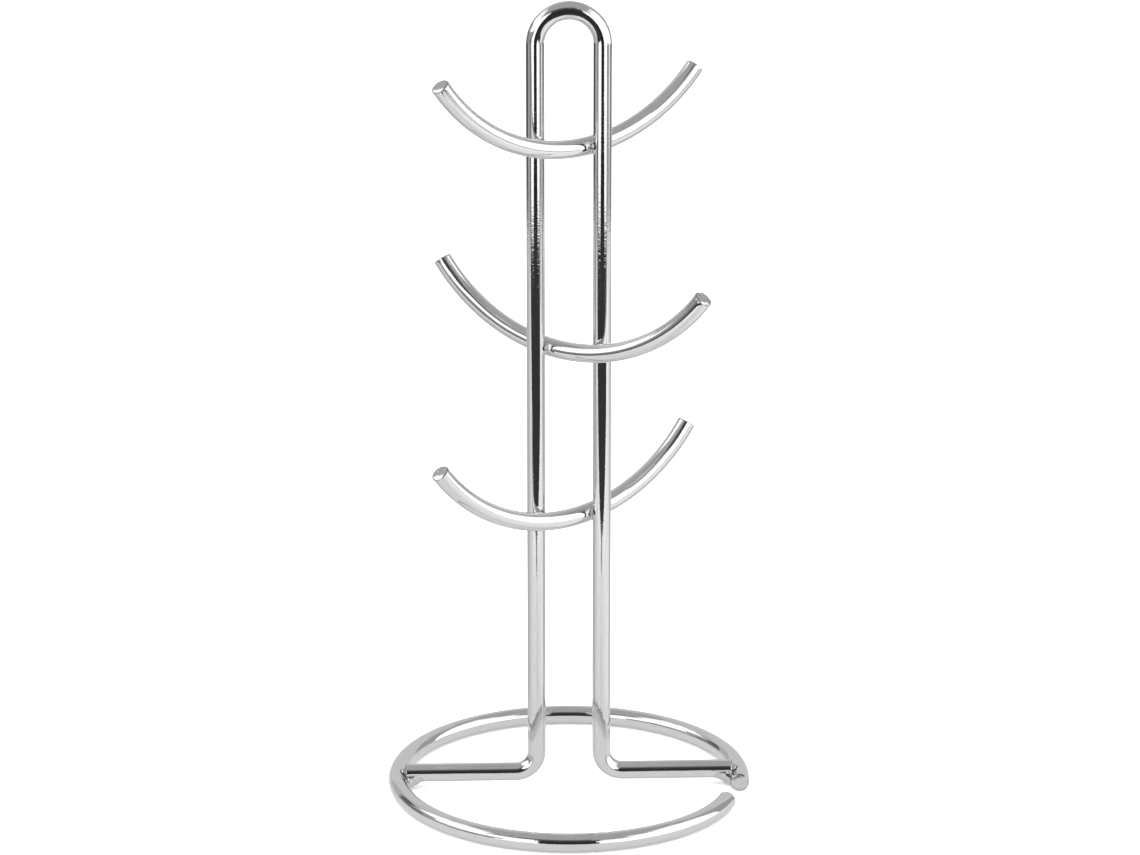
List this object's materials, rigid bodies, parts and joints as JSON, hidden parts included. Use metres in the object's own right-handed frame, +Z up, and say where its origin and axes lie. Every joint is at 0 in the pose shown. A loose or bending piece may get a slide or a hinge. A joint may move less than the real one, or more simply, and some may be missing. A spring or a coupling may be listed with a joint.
{
  "type": "mug tree",
  "caption": "Free-standing chrome wire mug tree: a hairpin upright on an open base ring, with curved crossing arms whose raised ends hold mugs by their handles.",
  "frame": {"origin": "on the table, at the centre of the base ring's outside, which is the middle of the upright", "axes": "+Z up along the upright, +X from the left foot to the right foot, -Y the front, where the ring's gap lies to the right"},
  "size_m": [0.1484, 0.1484, 0.329],
  "materials": {
    "chrome_wire": "bright chrome plate over cold-bent steel wire, faint drawing marks and plating waviness",
    "chrome_weld": "chrome plate over an undressed weld, bright but lumpy"
  },
  "bodies": {
    "root": {"base_ring": "chrome_wire", "upright_hairpin": "chrome_wire", "top_arm": "chrome_wire", "middle_arm": "chrome_wire", "lower_arm": "chrome_wire", "top_arm_weld_left": "chrome_weld", "top_arm_weld_right": "chrome_weld", "middle_arm_weld_left": "chrome_weld", "middle_arm_weld_right": "chrome_weld", "lower_arm_weld_left": "chrome_weld", "lower_arm_weld_right": "chrome_weld", "foot_weld_left": "chrome_weld", "foot_weld_right": "chrome_weld"}
  },
  "joints": []
}
